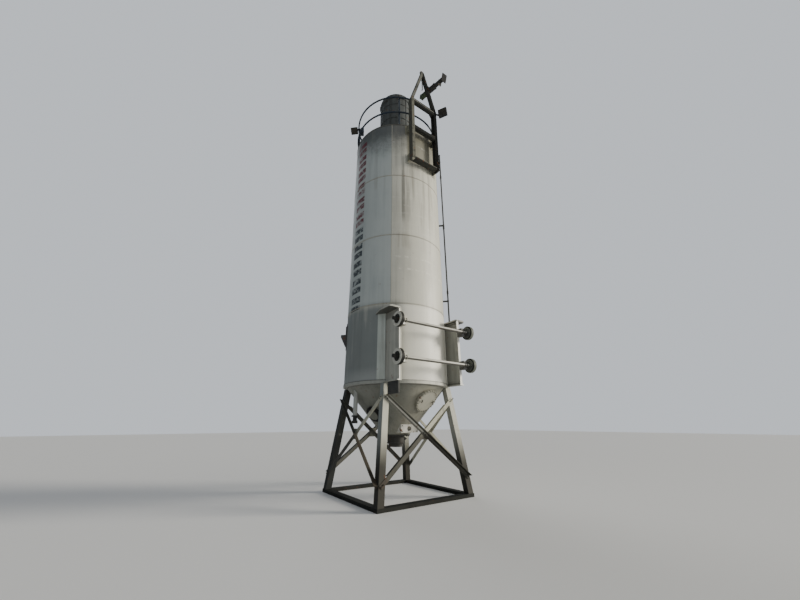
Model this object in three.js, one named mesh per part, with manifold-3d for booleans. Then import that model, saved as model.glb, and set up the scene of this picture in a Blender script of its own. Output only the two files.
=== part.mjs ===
// Transportable cement silo, stood on end: a round steel shell on four braced legs,
// with its road axles and towing frame still on the front (-Y) side.
// Millimetres, +Z up. Everything is laid out round the silo's axis, and the whole
// group is then moved so that the origin is under the middle of its outline.
import * as THREE from 'three';
import { mergeVertices } from 'three/addons/utils/BufferGeometryUtils.js';
import Module from 'manifold-3d';

const wasm = await Module();
wasm.setup();

// Driving dimensions
const GAP = 0.3;
const FACETS = 48;
const SHELL_R = 1245;
const SHELL_WALL = 10;
const SHELL_BOTTOM = 2280;
const COURSE_HEIGHTS = [1700, 1800, 1830, 1830];
const RING_HEIGHT = 60;
const RING_INNER_R = 1150;
const RING_OUTER_R = 1259;
const CONE_HALF_ANGLE = THREE.MathUtils.degToRad(39.95);
const CONE_EDGE_R = 1220;
const CONE_OUTLET_R = 320;
const CONE_WALL = 12;
const BASE_HALF = 1190;
const BEAM_WIDTH = 150;
const BEAM_HEIGHT = 65;
const LEG_SIDE = 140;
const LEG_TOP_HALF = 920;
const BRACE_ANGLE = 80;
const BRACE_THICKNESS = 10;
const BRACE_TOP_Z = 1930;
const BRACE_BOTTOM_Z = 400;
const WING_X = 865;
const WING_FRONT_Y = -1390;
const WING_TOP_Z = 3730;
const AXLE_Y = -1550;
const AXLE_ZS = [2655, 3415];
const TOW_X = 27;
const TOW_HALF = 470;
const TOW_FRONT_Y = -1440;
const TOW_DEPTH = 155;
const TOW_BOTTOM_Z = 8070;
const TOW_TOP_Z = 10350;
const APEX_Z = 11780;

const SHELL_TOP = COURSE_HEIGHTS.reduce((sum, height) => sum + height, SHELL_BOTTOM);
const CONE_TOP = SHELL_BOTTOM - RING_HEIGHT - GAP;
const CONE_SLOPE = Math.tan(CONE_HALF_ANGLE);
const coneRadius = (z) => CONE_EDGE_R - CONE_SLOPE * (SHELL_BOTTOM - z);
const CONE_BOTTOM = SHELL_BOTTOM - (CONE_EDGE_R - CONE_OUTLET_R) / CONE_SLOPE;
const ROOF_BASE = SHELL_TOP + GAP;

const silo = new THREE.Group();

// Finishes
const finish = (color, roughness, metalness) =>
  new THREE.MeshStandardMaterial({ color, roughness, metalness });
const creamPaint = () => finish(0xb9b6a6, 0.6, 0.1);
const darkPaint = () => finish(0x3a3b38, 0.7, 0.2);
const railPaint = () => finish(0x1f2a33, 0.5, 0.2);
const rustySteel = () => finish(0x4a4036, 0.8, 0.4);
const castIron = () => finish(0x2c2b29, 0.7, 0.5);

const add = (name, geometry, material, parent = silo) => {
  const mesh = new THREE.Mesh(geometry, material);
  mesh.name = name;
  parent.add(mesh);
  return mesh;
};

// Solids: a closed geometry becomes a manifold to be joined or cut, and comes back
const toSolid = (geometry) => {
  const bare = geometry.clone();
  bare.deleteAttribute('normal');
  bare.deleteAttribute('uv');
  const merged = mergeVertices(bare, 1e-3);
  const solid = new wasm.Manifold(new wasm.Mesh({
    numProp: 3,
    vertProperties: new Float32Array(merged.attributes.position.array),
    triVerts: new Uint32Array(merged.index.array),
  }));
  if (solid.volume() <= 0) throw new Error('a solid is inside out');
  return solid;
};
const toGeometry = (solid) => {
  const mesh = solid.getMesh();
  const geometry = new THREE.BufferGeometry();
  geometry.setAttribute('position', new THREE.BufferAttribute(mesh.vertProperties, 3));
  geometry.setIndex(new THREE.BufferAttribute(mesh.triVerts, 1));
  geometry.computeVertexNormals();
  return geometry;
};
const join = (...geometries) =>
  toGeometry(geometries.map(toSolid).reduce((whole, piece) => whole.add(piece)));
const cut = (geometry, ...tools) =>
  toGeometry(tools.map(toSolid).reduce((whole, tool) => whole.subtract(tool), toSolid(geometry)));

// Basic shapes
const block = (x0, x1, y0, y1, z0, z1) =>
  new THREE.BoxGeometry(x1 - x0, y1 - y0, z1 - z0)
    .translate((x0 + x1) / 2, (y0 + y1) / 2, (z0 + z1) / 2);

// A profile of [radius, height] points, given upwards on the outside, turned round Z
const turned = (profile, facets = FACETS) =>
  new THREE.LatheGeometry(profile.map(([r, z]) => new THREE.Vector2(r, z)), facets)
    .rotateX(Math.PI / 2);
const disc = (radius, z0, z1, facets = FACETS) =>
  turned([[0, z0], [radius, z0], [radius, z1], [0, z1]], facets);
const ring = (inner, outer, z0, z1, facets = FACETS) =>
  turned([[inner, z0], [outer, z0], [outer, z1], [inner, z1], [inner, z0]], facets);
const coneBlock = (margin, z0, z1) =>
  turned([[0, z0], [coneRadius(z0) + margin, z0], [coneRadius(z1) + margin, z1], [0, z1]]);

// An outline of [x, y] points drawn upwards to a depth
const drawn = (outline, depth) =>
  new THREE.ExtrudeGeometry(
    new THREE.Shape(outline.map(([x, y]) => new THREE.Vector2(x, y))),
    { depth, bevelEnabled: false });

// A straight bar of a given section between two points; the section's +y side faces `up`
const bar = (section, from, to, up) => {
  const start = new THREE.Vector3(...from);
  const along = new THREE.Vector3(...to).sub(start);
  const length = along.length();
  along.normalize();
  const side = new THREE.Vector3(...up).cross(along).normalize();
  const top = along.clone().cross(side);
  return drawn(section, length)
    .applyMatrix4(new THREE.Matrix4().makeBasis(side, top, along).setPosition(start));
};
const rectangle = (width, height) => [
  [-width / 2, -height / 2], [width / 2, -height / 2],
  [width / 2, height / 2], [-width / 2, height / 2],
];
const channel = (depth, flange, thickness) => [
  [-flange / 2, -depth / 2], [flange / 2, -depth / 2], [flange / 2, -depth / 2 + thickness],
  [-flange / 2 + thickness, -depth / 2 + thickness],
  [-flange / 2 + thickness, depth / 2 - thickness],
  [flange / 2, depth / 2 - thickness], [flange / 2, depth / 2], [-flange / 2, depth / 2],
];
const mirrorX = (geometry) => {
  const mirrored = toSolid(geometry).mirror([1, 0, 0]);
  return toGeometry(mirrored);
};

// Shell: four rolled courses, one above another
let courseBase = SHELL_BOTTOM;
COURSE_HEIGHTS.forEach((height, index) => {
  const top = courseBase + height - (index < COURSE_HEIGHTS.length - 1 ? GAP : 0);
  add(`shell_course_${index + 1}`,
    ring(SHELL_R - SHELL_WALL, SHELL_R, courseBase, top), creamPaint());
  courseBase += height;
});

// The ring under the shell takes the legs and the cone
add('base_ring',
  ring(RING_INNER_R, RING_OUTER_R, SHELL_BOTTOM - RING_HEIGHT, SHELL_BOTTOM - GAP),
  creamPaint());

// Hopper cone, open at both ends
add('hopper_cone', turned([
  [CONE_OUTLET_R, CONE_BOTTOM],
  [coneRadius(CONE_TOP), CONE_TOP],
  [coneRadius(CONE_TOP) - CONE_WALL, CONE_TOP],
  [CONE_OUTLET_R - CONE_WALL, CONE_BOTTOM],
  [CONE_OUTLET_R, CONE_BOTTOM],
]), creamPaint());

// Shut-off valve under the cone, closed
const VALVE_BODY_R = 190;
const VALVE_FLANGE_R = 335;
const SPOUT_BOTTOM = CONE_BOTTOM - 260;
add('outlet_valve', turned([
  [0, SPOUT_BOTTOM], [165, SPOUT_BOTTOM], [165, SPOUT_BOTTOM + 70],
  [VALVE_BODY_R + 30, SPOUT_BOTTOM + 70], [VALVE_BODY_R + 30, SPOUT_BOTTOM + 95],
  [VALVE_BODY_R, SPOUT_BOTTOM + 95], [VALVE_BODY_R, CONE_BOTTOM - 25],
  [VALVE_FLANGE_R, CONE_BOTTOM - 25], [VALVE_FLANGE_R, CONE_BOTTOM - GAP],
  [0, CONE_BOTTOM - GAP],
], 32), castIron());

// Roof: a shallow cone with a turned-down rim plate
const ROOF_RISE = 60;
const FILTER_R = 525;
const ROOF_PLATE = 12;
const ROOF_RIM_R = 1170;
add('roof', turned([
  [0, ROOF_BASE], [SHELL_R + 6, ROOF_BASE], [SHELL_R + 6, ROOF_BASE + ROOF_PLATE],
  [ROOF_RIM_R, ROOF_BASE + ROOF_PLATE],
  [FILTER_R + 40, ROOF_BASE + ROOF_RISE], [0, ROOF_BASE + ROOF_RISE],
]), creamPaint());

// Dust filter: a round housing under a lid that overhangs a little
const FILTER_BASE = ROOF_BASE + ROOF_RISE + GAP;
const FILTER_TOP = 11660;
const LID_HEIGHT = 150;
add('filter_housing', turned([
  [0, FILTER_BASE], [FILTER_R + 30, FILTER_BASE], [FILTER_R + 30, FILTER_BASE + 20],
  [FILTER_R, FILTER_BASE + 20], [FILTER_R, FILTER_TOP - LID_HEIGHT - GAP],
  [0, FILTER_TOP - LID_HEIGHT - GAP],
], 40), darkPaint());
add('filter_lid', turned([
  [0, FILTER_TOP - LID_HEIGHT], [FILTER_R + 22, FILTER_TOP - LID_HEIGHT],
  [FILTER_R + 22, FILTER_TOP - 30], [FILTER_R - 60, FILTER_TOP], [0, FILTER_TOP],
], 40), darkPaint());

// Guardrail: two hoops welded to the outside of four posts that stand on the roof's rim
const RAIL_TUBE = 48;
const POST_R = 1198;
const HOOP_R = POST_R + RAIL_TUBE - 4;
const HOOP_ZS = [9940, 10550];
const POST_ANGLES = [-30, 60, 150, 240];
const tubeCircle = (radius, sides) => Array.from({ length: sides + 1 }, (_, i) => {
  const turn = (2 * Math.PI * (i + 0.5)) / sides;
  return [radius * Math.cos(turn), radius * Math.sin(turn)];
});
const hoop = (z) => turned(
  tubeCircle(RAIL_TUBE / 2, 8).map(([r, h]) => [HOOP_R + r, z + h]));
const post = (degrees) => {
  const turn = THREE.MathUtils.degToRad(degrees);
  const foot = ROOF_BASE + ROOF_PLATE + GAP;
  const [x, y] = [POST_R * Math.cos(turn), POST_R * Math.sin(turn)];
  const upright = new THREE.CylinderGeometry(
    RAIL_TUBE / 2, RAIL_TUBE / 2, HOOP_ZS[1] + RAIL_TUBE / 2 - foot, 8)
    .rotateX(Math.PI / 2)
    .translate(0, 0, (HOOP_ZS[1] + RAIL_TUBE / 2 + foot) / 2);
  return upright.rotateZ(turn).translate(x, y, 0);
};
add('guardrail', join(...HOOP_ZS.map(hoop), ...POST_ANGLES.map(post)), railPaint());

// Legs: square tubes from the ring down to the base frame, splayed, and coped to the cone
const FOOT_TOP = BEAM_HEIGHT + GAP;
const LEG_FOOT_HALF = BASE_HALF - 10;
const LEG_LEAN = (LEG_TOP_HALF - LEG_FOOT_HALF) / (CONE_TOP - FOOT_TOP);
const legOuter = (z) => LEG_FOOT_HALF + LEG_LEAN * (z - FOOT_TOP);
const legCentre = (z) => legOuter(z) - LEG_SIDE / 2;
const leg = (signX, signY) => {
  const lean = new THREE.Matrix4().set(
    1, 0, LEG_LEAN * signX, legCentre(FOOT_TOP) * signX,
    0, 1, LEG_LEAN * signY, legCentre(FOOT_TOP) * signY,
    0, 0, 1, FOOT_TOP,
    0, 0, 0, 1);
  const tube = drawn(rectangle(LEG_SIDE, LEG_SIDE), CONE_TOP - FOOT_TOP).applyMatrix4(lean);
  return cut(tube, coneBlock(2, 1500, CONE_TOP + 50));
};
const CORNERS = {
  front_left: [-1, -1], front_right: [1, -1], back_left: [-1, 1], back_right: [1, 1],
};
for (const [corner, [signX, signY]] of Object.entries(CORNERS)) {
  add(`leg_${corner}`, leg(signX, signY), creamPaint());
}

// Base frame: four welded beams that lie on the ground
const BASE_INNER = BASE_HALF - BEAM_WIDTH;
add('base_frame', cut(
  block(-BASE_HALF, BASE_HALF, -BASE_HALF, BASE_HALF, 0, BEAM_HEIGHT),
  block(-BASE_INNER, BASE_INNER, -BASE_INNER, BASE_INNER, -10, BEAM_HEIGHT + 10)), creamPaint());

// Braces: on each side two angle irons cross back to back on the outer faces of the legs.
// The rear one lies on the legs with its free flange inwards, stopped short of them. The
// fore one lies over it on packing plates, with its free flange outwards.
const OUTWARD = [0, -1, -LEG_LEAN];
const braceRun = (z, side, lift) => [side * legCentre(z), -legOuter(z) - lift, z];
const braceBar = (section, side, lift, trim) => {
  const low = new THREE.Vector3(...braceRun(BRACE_BOTTOM_Z, -side, lift));
  const high = new THREE.Vector3(...braceRun(BRACE_TOP_Z, side, lift));
  const end = high.clone().sub(low).normalize().multiplyScalar(trim);
  return bar(section, low.clone().add(end).toArray(), high.clone().sub(end).toArray(), OUTWARD);
};
const strip = (x0, x1, y0, y1) => [[x0, y0], [x1, y0], [x1, y1], [x0, y1]];
const BRACE_HALF = BRACE_ANGLE / 2;
const FLANGE_EDGE = BRACE_HALF - BRACE_THICKNESS;
const PACKING = 130;
const OVERRUN = 45;
const rearBrace = join(
  braceBar(strip(-BRACE_HALF, BRACE_HALF, GAP, BRACE_THICKNESS), 1, 0, -OVERRUN),
  braceBar(strip(FLANGE_EDGE, BRACE_HALF, BRACE_THICKNESS - BRACE_ANGLE, BRACE_THICKNESS),
    1, 0, 190));
const foreLift = BRACE_THICKNESS + GAP;
const foreFlat = braceBar(strip(-BRACE_HALF, BRACE_HALF, 0, BRACE_THICKNESS), -1, foreLift, -OVERRUN);
const foreFlange = braceBar(strip(-BRACE_HALF, -FLANGE_EDGE, 0, BRACE_ANGLE), -1, foreLift, -OVERRUN);
const packing = (atTop) => {
  const section = strip(-BRACE_HALF, BRACE_HALF, GAP - foreLift, BRACE_THICKNESS / 2);
  const full = braceBar(section, -1, foreLift, -OVERRUN);
  const rest = braceBar(strip(-100, 100, -60, 60), -1, foreLift, PACKING - OVERRUN);
  const half = atTop
    ? block(-2000, 2000, -2000, 0, 0, 1200)
    : block(-2000, 2000, -2000, 0, 1200, 3000);
  return cut(full, rest, half);
};
const foreBrace = join(foreFlat, foreFlange, packing(true), packing(false));
const SIDES = ['front', 'right', 'back', 'left'];
SIDES.forEach((side, index) => {
  for (const [layer, geometry] of [['rear', rearBrace], ['fore', foreBrace]]) {
    const mesh = add(`brace_${side}_${layer}`, geometry, creamPaint());
    mesh.rotation.z = (index * Math.PI) / 2;
  }
});

// Manhole on the front of the cone, and a smaller port on its left: each a short neck with
// a flange, square to the cone's surface and coped to it
const onCone = (geometry, degrees, z) => {
  const turn = THREE.MathUtils.degToRad(degrees);
  return geometry
    .rotateY(Math.PI / 2 + CONE_HALF_ANGLE)
    .translate(coneRadius(z), 0, z)
    .rotateZ(turn);
};
const MANHOLE = { angle: -80, z: 1930 };
const PORT = { angle: 195, z: 1655 };
const wholeCone = coneBlock(GAP, CONE_BOTTOM - 20, CONE_TOP + 20);
add('manhole_neck', cut(onCone(turned([
  [0, -90], [235, -90], [235, 35], [272, 35], [272, 50], [0, 50],
], 32), MANHOLE.angle, MANHOLE.z), wholeCone), creamPaint());
add('manhole_cover', onCone(turned([
  [0, 50 + GAP], [275, 50 + GAP], [275, 66], [0, 66],
], 32), MANHOLE.angle, MANHOLE.z), creamPaint());
add('side_port', cut(onCone(turned([
  [0, -70], [150, -70], [150, 30], [190, 30], [190, 60], [140, 60], [140, 75], [0, 75],
], 32), PORT.angle, PORT.z), wholeCone), castIron());

// Clean-out box low on the front of the cone, with a round hole in its face
const cleanOut = block(-191, 266, -500, -150, 1250, 1418);
const CLEAN_HOLE = { x: 25, z: 1330, radius: 34, depth: 55 };
const cleanHole = new THREE.CylinderGeometry(CLEAN_HOLE.radius, CLEAN_HOLE.radius, 110, 16)
  .translate(CLEAN_HOLE.x, -500 + CLEAN_HOLE.depth - 55, CLEAN_HOLE.z);
add('clean_out_box', cut(cleanOut, wholeCone, cleanHole), creamPaint());

// Fill pipe: comes out of the cone on the left, down to a flange and a hose coupling
const FILL_R = 50;
add('fill_pipe', cut(turned([
  [0, 1440], [62, 1440], [62, 1500], [46, 1500], [46, 1575], [80, 1575], [80, 1600],
  [FILL_R, 1600], [FILL_R, CONE_TOP - 1], [0, CONE_TOP - 1],
], 20).translate(-1050, 40, 0), wholeCone), darkPaint());

// Side lug: a gusset on a pad, high up beside the lower course
const shellBlock = (margin) => disc(SHELL_R + margin, 1500, SHELL_TOP + 500);
const LUG_ANGLE = 157.5;
const lugOutline = [
  [-30, 3190], [20, 3190], [142, 3440], [142, 3475], [30, 3490], [30, 3700], [-30, 3700],
].map(([reach, z]) => [SHELL_R + reach, z]);
const lug = drawn(lugOutline, 90).translate(0, 0, -45).rotateX(Math.PI / 2)
  .rotateZ(THREE.MathUtils.degToRad(LUG_ANGLE));
add('side_lug', cut(lug, shellBlock(GAP)), rustySteel());

// Wings: plates that stand out from the shell and carry the axles on their front flanges
const WING_WEB = 12;
const WING_FLANGE = 60;
const WING_BOTTOM_Z = 2250;
const SEAT_HALF = 90;
const AXLE_R = 36;
const axleAlong = (radius, reach) => new THREE.CylinderGeometry(radius, radius, reach * 2, 20)
  .rotateZ(Math.PI / 2);
const seat = (z) => cut(
  block(WING_X - 75, WING_X + 12, AXLE_Y - 5, WING_FRONT_Y + 1, z - SEAT_HALF, z + SEAT_HALF),
  axleAlong(AXLE_R + GAP, 1200).translate(0, AXLE_Y, z));
const topPlate = drawn([
  [800, -600], [800, -1350], [830, -1382], [1030, -1382], [1075, -1365], [1095, -1320],
  [1095, -1000], [1010, -640],
], 40).translate(0, 0, WING_TOP_Z);
const wing = cut(
  join(
    block(WING_X - WING_WEB, WING_X, WING_FRONT_Y, -700, WING_BOTTOM_Z, WING_TOP_Z + 1),
    block(WING_X - WING_FLANGE, WING_X, WING_FRONT_Y, WING_FRONT_Y + WING_WEB,
      WING_BOTTOM_Z, WING_TOP_Z + 1),
    topPlate,
    block(800, 905, WING_FRONT_Y, -800, WING_BOTTOM_Z - 18, WING_BOTTOM_Z + 1),
    ...AXLE_ZS.map(seat)),
  shellBlock(GAP),
  disc(RING_OUTER_R + GAP, SHELL_BOTTOM - RING_HEIGHT - 20, SHELL_BOTTOM + GAP));
add('wing_right', wing, creamPaint());
const hangingBracket = block(-880, -850, -1375, -1000, 1990, WING_BOTTOM_Z);
add('wing_left', join(mirrorX(wing), hangingBracket), creamPaint());

// Axles: round beams in the seats, with a brake plate and a spindle at each end
const SPINDLE_R = 24;
const SPINDLE_END = 1090;
const BRAKE_PLATE = { inner: 930, outer: 942, radius: 132 };
const AXLE_SHOULDER = BRAKE_PLATE.outer + 6;
const mirroredEnds = (half) => [...half.map(([r, x]) => [r, -x]), ...half.toReversed()];
const axle = turned(mirroredEnds([
  [0, SPINDLE_END], [SPINDLE_R, SPINDLE_END], [SPINDLE_R, AXLE_SHOULDER],
  [AXLE_R, AXLE_SHOULDER], [AXLE_R, BRAKE_PLATE.outer],
  [BRAKE_PLATE.radius, BRAKE_PLATE.outer], [BRAKE_PLATE.radius, BRAKE_PLATE.inner],
  [AXLE_R, BRAKE_PLATE.inner],
]), 20).rotateY(Math.PI / 2);
const AXLE_NAMES = ['lower', 'upper'];
AXLE_ZS.forEach((z, index) => {
  add(`axle_${AXLE_NAMES[index]}`, axle, castIron()).position.set(0, AXLE_Y, z);
});

// Hubs, free to turn on the spindles: a brake drum open on its inner side, with a flat
// rim round a sunken middle on its outer side, and a barrel with a cap
const HUB_FACETS = 28;
const HUB_BORE_R = (SPINDLE_R + GAP) / Math.cos(Math.PI / HUB_FACETS);
const HUB_BORE_END = SPINDLE_END + 6;
const DRUM = { inner: 955, outer: 1030, radius: 158, wall: 14, sunken: 100 };
const BARREL_R = 52;
const CAP_R = 40;
const CAP_END = 1134;
const hub = turned([
  [0, HUB_BORE_END], [HUB_BORE_R, HUB_BORE_END], [HUB_BORE_R, DRUM.inner],
  [BARREL_R, DRUM.inner], [BARREL_R, DRUM.outer - 26], [DRUM.radius - DRUM.wall, DRUM.outer - 26],
  [DRUM.radius - DRUM.wall, DRUM.inner], [DRUM.radius, DRUM.inner], [DRUM.radius, DRUM.outer],
  [DRUM.sunken, DRUM.outer], [DRUM.sunken - 6, DRUM.outer - 12], [BARREL_R + 8, DRUM.outer - 12],
  [BARREL_R + 8, DRUM.outer + 30], [CAP_R, DRUM.outer + 36], [CAP_R - 3, CAP_END - 6],
  [0, CAP_END],
], HUB_FACETS).rotateY(Math.PI / 2);
for (const [side, sign] of [['left', -1], ['right', 1]]) {
  AXLE_ZS.forEach((z, index) => {
    const mesh = add(`hub_${side}_${AXLE_NAMES[index]}`, hub, castIron());
    mesh.position.set(0, AXLE_Y, z);
    if (sign < 0) mesh.rotation.z = Math.PI;
  });
}

// Conduit: a pipe up the right side of the shell, on stand-off brackets
const CONDUIT = { x: 1000, y: -950, radius: 21, top: 9340 };
const CONDUIT_BOTTOM = WING_TOP_Z + 40 + GAP;
const conduitTurn = Math.atan2(CONDUIT.y, CONDUIT.x);
const conduitPipe = turned([
  [0, CONDUIT_BOTTOM], [45, CONDUIT_BOTTOM], [45, CONDUIT_BOTTOM + 25],
  [CONDUIT.radius, CONDUIT_BOTTOM + 25], [CONDUIT.radius, CONDUIT.top], [0, CONDUIT.top],
], 12).translate(CONDUIT.x, CONDUIT.y, 0);
const standOff = (z) => block(SHELL_R - 20, Math.hypot(CONDUIT.x, CONDUIT.y), -18, 18, z - 18, z + 18)
  .rotateZ(conduitTurn);
const STAND_OFF_ZS = [4410, 6730, 9050];
add('conduit', cut(join(conduitPipe, ...STAND_OFF_ZS.map(standOff)), shellBlock(GAP)), darkPaint());

// Towing frame: two channel rails on brackets, three cross members, and the drawbar
const RAIL_FLANGE = 95;
const RAIL_WALL = 12;
const RAIL_Y = TOW_FRONT_Y + TOW_DEPTH / 2;
const RAIL_BACK_Y = TOW_FRONT_Y + TOW_DEPTH;
const towBracket = (z) =>
  block(-TOW_HALF, -TOW_HALF + RAIL_WALL, RAIL_BACK_Y - 5, -1050, z - 110, z + 110);
const towRail = join(
  drawn(channel(TOW_DEPTH, RAIL_FLANGE, RAIL_WALL), TOW_TOP_Z - TOW_BOTTOM_Z)
    .translate(-TOW_HALF + RAIL_FLANGE / 2, RAIL_Y, TOW_BOTTOM_Z),
  block(-TOW_HALF, -TOW_HALF + RAIL_FLANGE, TOW_FRONT_Y, RAIL_BACK_Y,
    TOW_TOP_Z - RAIL_WALL, TOW_TOP_Z),
  towBracket(8200), towBracket(9250));
const ontoShell = (geometry) => cut(geometry.translate(TOW_X, 0, 0), shellBlock(GAP));
add('tow_rail_right', ontoShell(mirrorX(towRail)), rustySteel());
add('tow_rail_left', ontoShell(towRail), rustySteel());
const CROSS_HALF = TOW_HALF - RAIL_FLANGE - GAP;
const crossChannel = (depthY, heightZ, wall, webSide) => {
  const bottom = webSide === 'bottom';
  const y1 = TOW_FRONT_Y + depthY;
  const solidBar = block(-CROSS_HALF, CROSS_HALF, TOW_FRONT_Y, y1, 0, heightZ);
  const hollow = bottom
    ? block(-CROSS_HALF - 9, CROSS_HALF + 9, TOW_FRONT_Y + wall, y1 - wall, wall, heightZ + 9)
    : block(-CROSS_HALF - 9, CROSS_HALF + 9, TOW_FRONT_Y + wall, y1 + 9, wall, heightZ - wall);
  return cut(solidBar, hollow);
};
add('tow_cross_bottom', crossChannel(150, 75, 10, 'bottom'), rustySteel())
  .position.set(TOW_X, 0, TOW_BOTTOM_Z);
add('tow_cross_middle', crossChannel(110, 110, 10, 'front'), rustySteel())
  .position.set(TOW_X, 0, 9180);
add('tow_cross_upper', crossChannel(90, 110, 10, 'front'), rustySteel())
  .position.set(TOW_X, 0, TOW_TOP_Z - 170);

// Drawbar: two bars that meet in a towing eye
const BAR_WIDTH = 76;
const BAR_DEPTH = 110;
const BAR_Y = TOW_FRONT_Y + BAR_DEPTH / 2;
const drawBar = (side, margin = 0) => bar(
  rectangle(BAR_WIDTH + margin, BAR_DEPTH + margin),
  [side * (TOW_HALF - RAIL_FLANGE / 2 + 12), BAR_Y, TOW_TOP_Z - 45],
  [-side * 4, BAR_Y, APEX_Z - 20], [0, -1, 0]);
const towEye = ring(38, 75, -22, 22, 20)
  .rotateX(Math.PI / 2).translate(0, BAR_Y, APEX_Z - 20);
const belowRails = block(-600, 600, -1600, -1200, TOW_TOP_Z - 300, TOW_TOP_Z + GAP);
const eyeHole = new THREE.CylinderGeometry(38, 38, 400, 20).translate(0, BAR_Y, APEX_Z - 20);
add('drawbar', cut(join(drawBar(1), drawBar(-1), towEye), belowRails, eyeHole), rustySteel())
  .position.x = TOW_X;

// Landing leg: a square tube clamped to the drawbar's right bar, with a sliding foot
const JACK_X = 296;
const jackStart = new THREE.Vector3(JACK_X, -976, 11356);
const jackEnd = new THREE.Vector3(JACK_X, -2046, 11019);
const jackAxis = jackEnd.clone().sub(jackStart).normalize();
const jackPoint = (distance) => jackStart.clone().addScaledVector(jackAxis, distance).toArray();
const JACK_UP = [0, 0, 1];
const JACK_TUBE = 120;
const JACK_INNER = 90;
const JACK_BORE = JACK_INNER + 2 * GAP;
const JACK_SPLIT = 700;
const jackBar = (size, from, to) =>
  bar(rectangle(size, size), jackPoint(from), jackPoint(to), JACK_UP);
const clampBlock = block(170, JACK_X - JACK_TUBE / 2 + 4, -1435, -1335, 11165, 11290);
add('jack_tube', cut(
  join(jackBar(JACK_TUBE, 0, JACK_SPLIT), clampBlock),
  jackBar(JACK_BORE, 60, JACK_SPLIT + 50),
  drawBar(1, 2 * GAP)), rustySteel()).position.x = TOW_X;
const JACK_LENGTH = jackStart.distanceTo(jackEnd);
const footPlate = bar(rectangle(170, 250), jackPoint(JACK_LENGTH - 16), jackPoint(JACK_LENGTH),
  JACK_UP);
const footLug = bar([[-60, -130], [60, -130], [60, 40], [-60, 40]],
  jackPoint(JACK_LENGTH - 200), jackPoint(JACK_LENGTH - 184), JACK_UP);
add('jack_foot', join(jackBar(JACK_INNER, 350, JACK_LENGTH - 8), footPlate, footLug), rustySteel())
  .position.x = TOW_X;

// Floodlights: one beside the upper hoop's left post, one beside the top of the right rail.
// Each is a flat box whose face looks along an azimuth and is tipped down
const LAMP_DEPTH = 80;
const lamp = ({ width, height, azimuth, tip, face }) => {
  const turn = THREE.MathUtils.degToRad(azimuth);
  const [x, y, z] = face;
  return new THREE.BoxGeometry(LAMP_DEPTH, width, height)
    .translate(-LAMP_DEPTH / 2, 0, 0)
    .rotateY(THREE.MathUtils.degToRad(tip))
    .rotateZ(turn)
    .translate(x, y, z);
};
const LAMP_POST_ANGLE = THREE.MathUtils.degToRad(150);
const HOOP_FLAT = HOOP_R + (RAIL_TUBE / 2) * Math.cos(Math.PI / 8) + GAP;
const hoopArm = block(HOOP_FLAT, HOOP_FLAT + 60, -45, 10, HOOP_ZS[1] - 20, HOOP_ZS[1] + 20)
  .rotateZ(LAMP_POST_ANGLE);
add('floodlight_left', join(
  lamp({ width: 217, height: 209, azimuth: -133, tip: 44, face: [-1200, 710, 10490] }),
  hoopArm), castIron());
const RAIL_SIDE = TOW_X + TOW_HALF;
const railArm = cut(
  bar(rectangle(45, 25), [RAIL_SIDE - 40, -1404, 10285], [752, -1484, 10305], [0, 0, 1]),
  block(0, RAIL_SIDE + GAP, -1600, -1200, 10000, 10600));
add('floodlight_right', join(
  lamp({ width: 265, height: 240, azimuth: -152, tip: 16, face: [680, -1520, 10410] }),
  railArm), castIron());

// The origin goes under the middle of the outline
silo.updateMatrixWorld(true);
const outline = new THREE.Box3().setFromObject(silo, true);
const middle = outline.getCenter(new THREE.Vector3());
silo.position.set(-middle.x, -middle.y, 0);

export default silo;
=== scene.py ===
import math

import bmesh
import bpy
from mathutils import Matrix, Vector


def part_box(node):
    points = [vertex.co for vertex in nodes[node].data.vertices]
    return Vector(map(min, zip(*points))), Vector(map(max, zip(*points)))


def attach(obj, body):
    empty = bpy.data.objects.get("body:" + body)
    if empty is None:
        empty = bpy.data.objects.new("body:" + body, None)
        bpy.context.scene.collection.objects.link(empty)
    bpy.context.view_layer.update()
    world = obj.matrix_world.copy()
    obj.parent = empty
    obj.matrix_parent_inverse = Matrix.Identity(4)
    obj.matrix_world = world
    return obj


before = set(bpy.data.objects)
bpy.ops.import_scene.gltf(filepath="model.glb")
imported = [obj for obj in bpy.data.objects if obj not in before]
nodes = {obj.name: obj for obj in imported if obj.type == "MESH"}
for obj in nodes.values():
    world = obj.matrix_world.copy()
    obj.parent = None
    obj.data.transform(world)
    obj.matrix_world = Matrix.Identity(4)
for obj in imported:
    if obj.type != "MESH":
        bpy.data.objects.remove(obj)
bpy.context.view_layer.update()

# The studio: a pale floor, a pale backdrop and a wide soft light from the right, with
# a camera that stands low in front of the silo on its left and looks up at it.
roof_low, roof_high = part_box("roof")
axis = (roof_low + roof_high) / 2
axis.z = 0


def beside(x, y, z):
    """A point given from the foot of the silo's axis."""
    return axis + Vector((x, y, z))


def circle(radius, degrees):
    """The two coordinates of a point on a circle."""
    turn = math.radians(degrees)
    return radius * math.cos(turn), radius * math.sin(turn)


def show(thing):
    """Puts an object in the scene."""
    bpy.context.scene.collection.objects.link(thing)


eye = bpy.data.cameras.new("eye")
eye.sensor_width = 36
eye.lens = 14.49
eye.clip_start = 0.05
eye.clip_end = 400
camera = bpy.data.objects.new("camera", eye)
right = Vector((0.81901, -0.57378, -0.00257))
up = Vector((-0.2037, -0.29494, 0.93355))
ahead = Vector((0.53641, 0.76406, 0.35844))
stand = Matrix((right, up, -ahead)).transposed().to_4x4()
stand.translation = beside(-4.53936, -6.65725, 1.4341)
camera.matrix_world = stand
show(camera)
bpy.context.scene.camera = camera

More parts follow.
